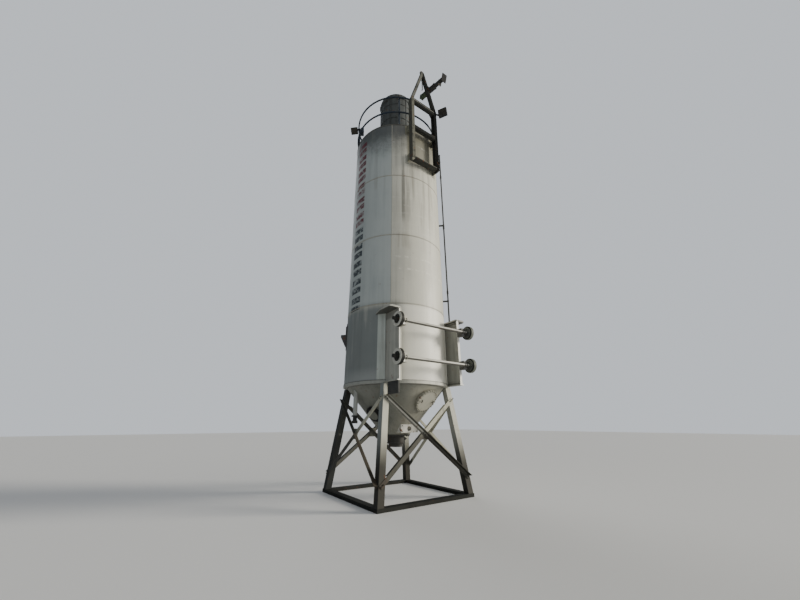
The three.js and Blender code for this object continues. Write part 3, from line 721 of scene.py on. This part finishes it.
# The side port: a cast neck and a black loose flange that once took a level probe. A
# round blank closes it, in the cone's own paint.
dress(["side_port"], port_iron)
PORT_HOLES_R = 0.166
port = on_cone(195, 1.655)
port_out = port.to_3x3() @ Vector((0, 0, 1))
port_bolts = bmesh.new()
bolts(port_bolts, [(port @ Vector((*circle(PORT_HOLES_R, 45 * k + 12), 0.060)), port_out)
                   for k in range(8)], 0.011, 0.012, 0.003)
finish_piece("port_bolts", port_bolts, port_iron)
blank = bmesh.new()
spun(blank, [port @ Vector((r, 0, h)) for r, h in
             ((0.001, 0.070), (0.118, 0.070), (0.124, 0.078), (0.118, 0.086), (0.001, 0.088))],
     steps=40, pivot=port.translation, line=port_out)
finish_piece("port_blank", blank, cone_paint)

# The clean-out box and the fill pipe: a welded box low on the cone with a threaded hole,
# and a steel pipe down the left side that ends in a flange and a hose coupling.
box_paint = weathered("box_paint", (0.60, 0.59, 0.53), rust=0.6, gloss=0.6, relief=0.005)
dress(["clean_out_box"], box_paint)
box_low, box_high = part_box("clean_out_box")
hole = Vector((axis.x + 0.025, box_low.y, 1.330))
rimmed = bmesh.new()
spun(rimmed, [hole + Vector((r, h, 0)) for r, h in
              ((0.0345, 0.02), (0.0345, -0.010), (0.046, -0.010), (0.048, 0.002), (0.048, 0.02))],
     steps=32, pivot=hole, line=(0, 1, 0))
bolts(rimmed, [(Vector((x, box_low.y, z)), (0, -1, 0))
               for x in (box_low.x + 0.03, box_high.x - 0.03) for z in (1.28, 1.39)],
      *SMALL_BOLT)
finish_piece("box_socket", rimmed, dark_iron)
pipe_paint = weathered("pipe_paint", (0.040, 0.041, 0.041), grime=(0.13, 0.125, 0.105), dirt=0.6,
                       rust=0.3, gloss=0.6, relief=0.003, shine=0.25)
dress(["conduit"], pipe_paint)


def fill_marks(x, y, z, *_):
    """The pipe above its flange is painted like the shell."""
    yield rise(z, 1.601, 1.606), (0.36, 0.37, 0.35)


fill_paint = weathered("fill_paint", (0.030, 0.031, 0.032), grime=(0.10, 0.098, 0.085), dirt=0.5,
                       rust=0.25, gloss=0.6, relief=0.003, shine=0.25, marks=fill_marks)
dress(["fill_pipe"], fill_paint)
fill_low, fill_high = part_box("fill_pipe")
fill = (fill_low + fill_high) / 2
fill.z = 0
coupling = bmesh.new()
HOSE_HOLES_R = 0.068
bolts(coupling, [(fill + Vector((*circle(HOSE_HOLES_R, 60 * k), 1.600)), (0, 0, 1))
                 for k in range(6)], 0.008, 0.010)
for z in (1.455, 1.485):
    spun(coupling, [fill + Vector((r, 0, z + h)) for r, h in
                    ((0.058, -0.006), (0.067, -0.006), (0.067, 0.006), (0.058, 0.006))],
         steps=32, pivot=fill)
for side in (-1, 1):
    rod(coupling, *(fill + Vector((0, side * reach, 1.47)) for reach in (0.058, 0.079)), 0.010, 10)
finish_piece("fill_coupling", coupling, dark_iron)

# The wings: two plates welded out from the shell to carry the axles, each with a folded
# front edge, a cap plate above and doubling pads where it meets the shell.
def wing_marks(x, y, z, specks, *_):
    """A painted highlight on the front flanges, darker paint towards the shell, painted shade
    under the cap, on the cap and on the right wing's web, and dark seats where the axles are
    clamped."""
    yield rise(y, -1.20, -0.95) * 0.45, (0.17, 0.165, 0.14)
    # Painted shade under the cap, on the cap and on the right cap.
    yield band(z, 3.60, 3.715, 0.05) * 0.5, (0.10, 0.098, 0.085)
    yield band(z, 3.7255, 3.7340, 0.0015) * 0.90, (0.065, 0.065, 0.056)
    yield rise(x, 0.87, 0.88) * rise(z, 3.7255, 3.7290) * 0.85, (0.045, 0.045, 0.040)
    # Painted shade on the web of the right wing.
    yield rise(x, 0.5, 0.6) * rise(y, -1.382, -1.375) * 0.30, (0.16, 0.16, 0.135)
    # Painted highlight on the front flanges below the cap, mottled.
    edge = (1 - rise(y, -1.388, -1.384)) * (1 - rise(z, 3.715, 3.725))
    worn = edge * band(x, -0.839, 0.0, 0.002)
    yield edge * rise(specks, 0.1, 0.35) * 0.95, (0.88, 0.87, 0.80)
    yield worn * 0.9, (0.40, 0.39, 0.31)
    yield (1 - rise(y, -1.400, -1.393)) * rise(x, 0.0, 0.1) * 0.92, GREASE


wing_paint = weathered("wing_paint", (0.50, 0.50, 0.44), dirt=0.6, rust=0.3, gloss=0.5,
                       marks=wing_marks)
dress(["wing_left", "wing_right"], wing_paint)
WING_X = 0.865


def shell_pad(work, azimuth, sweep, low, high, proud, steps):
    """A doubling plate rolled to the shell, which reaches sweep degrees on from azimuth."""
    spun(work, ring_profile(SHELL_R - PLATE_SUNK, SHELL_R + proud, low, high, azimuth), steps,
         sweep=sweep)


pads = bmesh.new()
for azimuth, sweep in ((-143.0, 8.2), (-133.1, 4.0), (-50.9, 4.0), (-45.2, 8.2)):
    shell_pad(pads, azimuth, sweep, 2.295, 3.78, 0.0085, 10)


def pad_marks(x, *_):
    """Painted light on the pads on the right, which lifts them out of the wing's shadow."""
    yield rise(x, -0.1, 0.1) * 0.85, (0.88, 0.87, 0.78)


pad_paint = weathered("pad_paint", (0.47, 0.51, 0.47), rust=0.2, marks=pad_marks)
finish_piece("wing_pads", pads, pad_paint)
stiffeners = bmesh.new()
for side in (-1, 1):
    for z in (2.30, 3.70):
        slab_between(stiffeners, beside(side * (WING_X - 0.058), -1.380, z - 0.005),
                     beside(side * (WING_X - 0.0115), -0.935, z + 0.005), edge=0.001)
    for z in (2.255, 3.725):
        rod(stiffeners, *(beside(side * (WING_X + 0.002), y, z) for y in (-1.385, -0.905)),
            0.006, 6)
    rod(stiffeners, *(beside(side * (WING_X + 0.003), -0.901, z) for z in (2.30, 3.72)), 0.008, 6)
finish_piece("wing_stiffeners", stiffeners, wing_paint)
bracket_iron = weathered("bracket_iron", (0.055, 0.056, 0.055), dirt=0.4, rust=0.4, gloss=0.6,
                         shine=0.2)
hanger = bmesh.new()
slab_between(hanger, beside(-0.884, -1.378, 1.985), beside(-0.846, -0.997, 2.232), edge=0.003)
bolts(hanger, [(beside(-0.884, y, z), (-1, 0, 0)) for z in (2.04, 2.17) for y in (-1.32, -1.06)],
      *LARGE_BOLT)
finish_piece("wing_hanger", hanger, bracket_iron)

# The axles: thick tubes across the front, held to the wings' seats by U-bolts, with a
# brake plate near each end. They are painted like the shell and are now chipped.
AXLE_Y = -1.55
AXLE_HEIGHTS = {"lower": 2.655, "upper": 3.415}
CLASP_R, BRAKE_HOLES_R = 0.0425, 0.085


def axle_marks(x, y, z, specks, *_):
    """A duller upper axle, painted shade under both, grease on the brake plates and green paint
    left on the right ones."""
    yield rise(z, 3.0, 3.1) * 0.3, (0.34, 0.33, 0.28)
    # Painted shade on the underside of each axle.
    for level in AXLE_HEIGHTS.values():
        yield band(z, level - 0.040, level - 0.010, 0.008) * 0.9, (0.045, 0.043, 0.034)
    ends = rise(x.maths("ABSOLUTE"), 0.922, 0.928)
    yield ends * 0.92, GREASE
    yield rise(x, 0.922, 0.928) * rise(specks, 0.3, 0.6) * 0.7, (0.105, 0.118, 0.095)


axle_paint = weathered("axle_paint", (0.60, 0.59, 0.52), gloss=0.42, relief=0.003,
                       marks=axle_marks)
dress(["axle_lower", "axle_upper"], axle_paint)
clasps = bmesh.new()
plates = bmesh.new()
for z in AXLE_HEIGHTS.values():
    for side in (-1, 1):
        middle = beside(side * 0.8335, AXLE_Y, z)
        for grip in (middle + Vector((dx, 0, 0)) for dx in (-0.028, 0.028)):
            bend = (circle(CLASP_R, 22.5 * k - 90) for k in range(9))
            bent_rod(clasps, [grip + Vector((0, -reach, height)) for reach, height in bend], 0.007)
            for up_down in (-1, 1):
                rod(clasps, *(grip + Vector((0, y, up_down * CLASP_R)) for y in (0, 0.020)), 0.007)
        for up_down in (-1, 1):
            slab_between(plates, middle + Vector((-0.048, 0.010, up_down * 0.070 - 0.024)),
                         middle + Vector((0.048, 0.120, up_down * 0.070 + 0.024)), edge=0.002)
        holes = (circle(BRAKE_HOLES_R, 45 * k + 20) for k in range(8))
        bolts(plates, [(beside(side * 0.930, AXLE_Y + y, z + height), (-side, 0, 0))
                       for y, height in holes], *SMALL_BOLT)


def seat_marks(x, *_):
    """The seats on the right are black with grease."""
    yield rise(x, -0.1, 0.1) * 0.92, GREASE


seat_paint = weathered("seat_paint", (0.42, 0.41, 0.34), dirt=0.5, rust=0.3, gloss=0.5,
                       relief=0.003, marks=seat_marks)
finish_piece("axle_clasps", clasps, seat_paint)
finish_piece("axle_plates", plates, seat_paint)

# The hubs: brake drums with a flat turned rim round a sunken middle, a barrel with a
# bolted cap, and a ring of short studs. The rims keep some paint; the rest is bare iron.
def drum_marks(x, y, z, specks, *_):
    """Pale paint on the rim's face, a painted highlight round the rims of the drums on the right,
    and dark dust and grease everywhere else.
    """
    outer = x.maths("ABSOLUTE")
    low, high = ((z - level).maths("ABSOLUTE") for level in AXLE_HEIGHTS.values())
    drop = low.maths("MINIMUM", high)
    reach = (drop * drop + (y - AXLE_Y) * (y - AXLE_Y)).maths("SQRT")
    face = rise(outer, 1.016, 1.020)
    rim = rise(reach, 0.097, 0.101) * rise(outer, 1.025, 1.029)
    yield (1 - face) * (1 - rise(x, -0.1, 0.1)) * 0.85, (0.020, 0.020, 0.018)
    right = rise(x, -0.1, 0.1)
    hollow = (1 - rise(outer, 1.010, 1.016)) * (1 - rise(reach, 0.146, 0.152))
    yield hollow * (1 - right * 0.45) * 0.92, (0.014, 0.015, 0.013)
    # Painted highlight round the rims of the drums on the right.
    yield right * rise(reach, 0.156, 0.160) * 0.8, (0.30, 0.31, 0.265)
    yield face * (1 - rim) * 0.85, (0.018, 0.018, 0.017)
    yield rim * rise(specks, 0.20, 0.45) * 0.95, (0.60, 0.595, 0.53)


drum_iron = weathered("drum_iron", (0.125, 0.132, 0.108), grime=(0.04, 0.039, 0.035), dirt=0.4,
                      rust=0.4, gloss=0.5, relief=0.003, shine=0.2, marks=drum_marks)
STUD_RINGS = ((10, 9, 0.130, (1.028, 1.050), 0.0075, 10), (6, 0, 0.050, (1.060, 1.073), 0.006, 6))
for side, sign in (("left", -1), ("right", 1)):
    for level, z in AXLE_HEIGHTS.items():
        name = f"hub_{side}_{level}"
        dress([name], drum_iron)
        centre = beside(0, AXLE_Y, z)
        studs = bmesh.new()
        for count, first, reach, ends, radius, sides in STUD_RINGS:
            for k in range(count):
                spoke = circle(reach, 360 / count * k + first)
                rod(studs, *(centre + Vector((sign * x, *spoke)) for x in ends), radius, sides)
        for at in (0.964, 0.992):
            spun(studs, [centre + Vector((sign * (at + dx), 0, r)) for dx, r in
                         ((-0.004, 0.155), (-0.003, 0.1615), (0.003, 0.1615), (0.004, 0.155))],
                 steps=48, pivot=centre, line=(1, 0, 0))
        finish_piece(f"{name}_studs", studs, drum_iron, body=name)

# The towing frame: two channels with cross members, all rusty dark steel, standing on
# brackets off the shell near its top.
TOW_MIDDLE, TOW_HALF, DRAWBAR_Y = 0.027, 0.470, -1.385
BRACKET_ZS = (8.20, 9.25)
CROSS_MEMBER_ZS = (8.108, 9.235, 10.235)


def frame_marks(x, y, z, specks, *_):
    """Blackened fronts, a paler left rail, a painted highlight along the cross members' top edges,
    and brackets in shell colour.
    """
    front = 1 - rise(y, -1.438, -1.432)
    yield front * 0.85, (0.016, 0.017, 0.016)
    left = front * (1 - rise(x, -0.350, -0.346)) * (1 - rise(z, 10.33, 10.36))
    yield left * rise(specks, 0.25, 0.5) * 0.80, (0.150, 0.148, 0.122)
    yield (1 - rise(x, -0.4405, -0.4375)) * (1 - front) * 0.6, (0.110, 0.108, 0.088)
    left_bar = rise(z, 10.36, 10.38) * (1 - rise(x, 0.00, 0.03))
    yield left_bar * 0.7, (0.165, 0.165, 0.145)
    between = band(x, -0.347, 0.401, 0.003)
    # Painted highlight along the top edges of the cross members, mottled.
    for top, deep, share in ((8.145, 0.016, 0.5), (9.290, 0.006, 0.2), (10.290, 0.014, 0.85)):
        edge = band(z, top - deep, top + 0.002, 0.005) * between
        yield edge * rise(specks, 0.2, 0.5) * share, (0.34, 0.33, 0.28)
    yield front * rise(x, 0.402, 0.406) * 0.95, (0.004, 0.005, 0.005)
    right_web = rise(x, 0.480, 0.486) * (1 - front) * (1 - rise(z, 9.2, 9.3))
    yield right_web * 0.8, (0.12, 0.108, 0.09)
    yield rise(y, -1.291, -1.285), (0.20, 0.195, 0.150)
    yield rise(y, -1.205, -1.195) * (1 - rise(z, 8.6, 8.8)), (0.36, 0.36, 0.31)


frame_steel = weathered("frame_steel", (0.062, 0.063, 0.056), grime=(0.030, 0.029, 0.026),
                        dirt=0.6, rust=0.45, gloss=0.7, relief=0.006, shine=0.04, marks=frame_marks)
dress(["tow_rail_left", "tow_rail_right", "tow_cross_bottom", "tow_cross_middle",
       "tow_cross_upper", "drawbar"], frame_steel)
ties = bmesh.new()
for side in (-1, 1):
    web = TOW_MIDDLE + side * TOW_HALF
    for z in BRACKET_ZS:
        bolts(ties, [(beside(web, -1.245, z + step), (side, 0, 0)) for step in (-0.07, 0.07)],
              0.013, 0.013, 0.003)
        slab_between(ties, beside(web, -1.275, z - 0.006),
                     beside(web - side * 0.09, -1.145, z + 0.006), edge=0.001)
    bolts(ties, [(beside(web - side * 0.047, -1.440, z + step), (0, -1, 0))
                 for z in CROSS_MEMBER_ZS for step in (-0.022, 0.022)], *SMALL_BOLT)
for azimuth in (-112.6, -68.8):
    for z in BRACKET_ZS:
        shell_pad(ties, azimuth, 4.0, z - 0.15, z + 0.15, 0.009, 8)
rod(ties, *(beside(TOW_MIDDLE + end, DRAWBAR_Y, 10.405) for end in (-0.385, 0.385)), 0.011, 10)
finish_piece("tow_fixings", ties, frame_steel)

# The chain: a short length with a hook that hangs in the drawbar's fork. The eye above
# it has a bush of the same steel.
chain_steel = weathered("chain_steel", (0.060, 0.055, 0.050), dirt=0.3, rust=0.8, gloss=0.5,
                        metal=0.2, relief=0.002, shine=0.2)


def chain_link(work, middle, turn):
    """One welded link: a ring drawn out along Z."""
    half, wide, wire = 0.030, 0.016, 0.006
    place = Matrix.Translation(middle) @ swung("Z", turn)
    ring = bmesh.new()
    spun(ring, [Vector((wide + x, 0, z)) for x, z in (circle(wire, 60 * k) for k in range(6))],
         steps=20, pivot=Vector((0, 0, 0)))
    tilt = place @ Matrix.Diagonal((1, 1, half / wide, 1)) @ swung("X", 90)
    bmesh.ops.transform(ring, matrix=tilt, verts=ring.verts)
    loose = as_mesh("link", ring)
    work.from_mesh(loose)
    bpy.data.meshes.remove(loose)


chain = bmesh.new()
top = beside(TOW_MIDDLE, DRAWBAR_Y, 11.385)
rod(chain, *(top + Vector((end, 0, 0.022)) for end in (-0.105, 0.105)), 0.009, 10)
LINK_STEP = 0.045
for k in range(7):
    chain_link(chain, top - Vector((0, 0, LINK_STEP * k)), 90 * (k % 2))
hook = top - Vector((0, 0, 0.340))
bend = (circle(0.030, 90 - 28 * k) for k in range(10))
bent_rod(chain, [hook + Vector((0, y, height)) for y, height in bend], 0.0085)
finish_piece("drawbar_chain", chain, chain_steel)
eye_ring = bmesh.new()
eye_at = beside(TOW_MIDDLE, DRAWBAR_Y, 11.760)
spun(eye_ring, [eye_at + Vector((r, h, 0)) for r, h in
                ((0.0375, -0.026), (0.052, -0.026), (0.052, 0.026), (0.0375, 0.026))],
     steps=40, pivot=eye_at, line=(0, 1, 0))
finish_piece("drawbar_eye_bush", eye_ring, chain_steel)

# The landing leg: a square tube clamped to the drawbar, with an inner leg pinned in it,
# a foot plate and a lug for the winding gear.
def jack_marks(x, y, z, specks, *_):
    """Old green paint on the tube behind the drawbar, and a blackened foot."""
    yield 1 - rise(y, -1.99, -1.90), (0.020, 0.020, 0.019)
    yield rise(y, -1.36, -1.26) * rise(specks, 0.2, 0.5) * 0.8, (0.080, 0.115, 0.060)


leg_steel = weathered("leg_steel", (0.060, 0.060, 0.056), grime=(0.028, 0.027, 0.025), dirt=0.55,
                      rust=0.45, gloss=0.6, relief=0.005, shine=0.15, marks=jack_marks)
dress(["jack_tube", "jack_foot"], leg_steel)
jack_start = beside(TOW_MIDDLE + 0.296, -0.976, 11.356)
jack_line = Vector((0, -1.070, -0.337)).normalized()
jack_top = jack_line.cross(Vector((1, 0, 0)))
FOOT_PLATE, PIN_AT = 1.1053, 0.62


def jack(distance, side=0.0, height=0.0):
    """A point beside the landing leg's centre line."""
    return jack_start + jack_line * distance + Vector((side, 0, 0)) + jack_top * height


collar = bmesh.new()
strip = Matrix((Vector((1, 0, 0)), jack_top, jack_line)).transposed().to_4x4()
STRAP_OUT, STRAP_THIN, STRAP_LONG = 0.063, 0.004, 0.067
STRAPS = ((STRAP_OUT, 0, STRAP_THIN, STRAP_LONG), (-STRAP_OUT, 0, STRAP_THIN, STRAP_LONG),
          (0, STRAP_OUT, STRAP_LONG, STRAP_THIN), (0, -STRAP_OUT, STRAP_LONG, STRAP_THIN))
for along in (0.02, 0.685):
    for side, height, half_wide, half_high in STRAPS:
        strip.translation = jack(along, side, height)
        slab_between(collar, (-half_wide, -half_high, -0.018), (half_wide, half_high, 0.018),
                     strip, 0.001)
for near, far, radius in ((-0.085, -0.055, 0.011), (0.055, 0.086, 0.011), (0.085, 0.097, 0.019)):
    rod(collar, jack(PIN_AT, near), jack(PIN_AT, far), radius, 12)
bolts(collar, [(jack(at, 0.060, height), (1, 0, 0)) for at in (0.34, 0.52)
               for height in (-0.035, 0.035)], 0.011, 0.012, 0.003)
finish_piece("jack_collars", collar, leg_steel)
shoe = bmesh.new()
bolts(shoe, [(jack(FOOT_PLATE, side, height), -jack_line) for side in (-0.06, 0.06)
             for height in (-0.095, 0.095)], *SMALL_BOLT)
for k in range(5):
    rod(shoe, *(jack(0.74 + 0.035 * k, side) for side in (0.0440, 0.0452)), 0.009, 12)
finish_piece("jack_foot_fixings", shoe, leg_steel, body="jack_foot")

# The floodlights: two cast housings with a glass front, cooling fins behind and a
# bracket, one on the guardrail and one on the towing frame.
lamp_case = weathered("lamp_case", (0.022, 0.023, 0.025), grime=(0.06, 0.058, 0.05), dirt=0.4,
                      rust=0.1, gloss=0.5, relief=0.002, shine=0.2)
dress(["floodlight_left", "floodlight_right"], lamp_case)
lamp_glass, glass_tree, glass_shader = new_finish("lamp_glass")
glass_shader.inputs["Specular IOR Level"].default_value = 0.2
glass_dust = rise(clouds(Wire(glass_tree).node("TexCoord", out=3), 14.0, 5.0), 0.35, 0.7)
glass_colour = coat(glass_dust * 0.4, (0.034, 0.030, 0.023), (0.08, 0.072, 0.055))
glass_colour.feed(glass_shader, "Base Color")
(0.12 + glass_dust * 0.5).feed(glass_shader, "Roughness")
RIM, PANE_GAP = 0.014, 0.0005
LAMPS = (
    ("left", (-1.200, 0.710, 10.490), -133, 44, 0.1085, 0.1045),
    ("right", (0.680, -1.520, 10.410), -152, 16, 0.1325, 0.1200),
)
for side, face, azimuth, tip, half_wide, half_high in LAMPS:
    place = (Matrix.Translation(axis + Vector(face)) @ swung("Z", azimuth) @ swung("Y", tip)
             @ Matrix.Translation((-0.040, 0, 0)) @ swung("Z", 90))
    pane_wide, pane_high = half_wide - RIM - PANE_GAP, half_high - RIM - PANE_GAP
    trim = bmesh.new()
    for k in range(9):
        x = -half_wide + 0.015 + k * (2 * half_wide - 0.03) / 8
        slab_between(trim, (x - 0.003, 0.038, 0.012 - half_high),
                     (x + 0.003, 0.056, half_high - 0.012), place, 0.001)
    for up_down in (-1, 1):
        slab_between(trim, (-half_wide, -0.048, up_down * half_high),
                     (half_wide, -0.039, up_down * (half_high - RIM)), place, 0.001)
        slab_between(trim, (up_down * half_wide, -0.048, pane_high),
                     (up_down * (half_wide - RIM), -0.039, -pane_high), place, 0.001)
    bolts(trim, [(place @ Vector((x, -0.048, z)), place.to_3x3() @ Vector((0, -1, 0)))
                 for x in (0.007 - half_wide, half_wide - 0.007)
                 for z in (0.007 - half_high, half_high - 0.007)], 0.004, 0.004)
    finish_piece(f"floodlight_{side}_trim", trim, lamp_case)
    pane = bmesh.new()
    slab_between(pane, (-pane_wide, -0.0455, -pane_high), (pane_wide, -0.0405, pane_high), place)
    finish_piece(f"floodlight_{side}_glass", pane, lamp_glass)

# The conduit: galvanised pipe up the right side, joined by sockets and clipped to
# stand-offs on the shell.
def conduit_point(z):
    """A point on the conduit's centre line."""
    return beside(1.000, -0.950, z)


clips = bmesh.new()
inwards = Vector((-1.0, 0.95, 0)).normalized()
across = Vector((0.95, 1.0, 0)).normalized()
for z in (4.62, 6.62, 8.42):
    rod(clips, conduit_point(z), conduit_point(z + 0.075), 0.0275, 16)
for z in (4.41, 6.73, 9.05):
    rod(clips, conduit_point(z - 0.022), conduit_point(z + 0.022), 0.0255, 16)
    for side in (-1, 1):
        bolts(clips, [(conduit_point(z) + inwards * 0.012 + across * 0.022 * side, across * side)],
              0.008, 0.010)
rod(clips, conduit_point(9.332), conduit_point(9.350), 0.026, 16, tip=0.012)
finish_piece("conduit_clips", clips, pipe_paint)

# The side lug: a gusset for lifting, on a pad that is rolled to the shell. It is dark and
# rusted where the slings have rubbed it.
lug_steel = weathered("lug_steel", (0.085, 0.085, 0.088), grime=(0.030, 0.029, 0.028), dirt=0.5,
                      rust=0.4, gloss=0.6, relief=0.005, shine=0.2)
dress(["side_lug"], lug_steel)
lug_pad = bmesh.new()
shell_pad(lug_pad, 153.0, 9.0, 3.12, 3.76, 0.010, 8)
finish_piece("lug_pad", lug_pad, lug_steel)
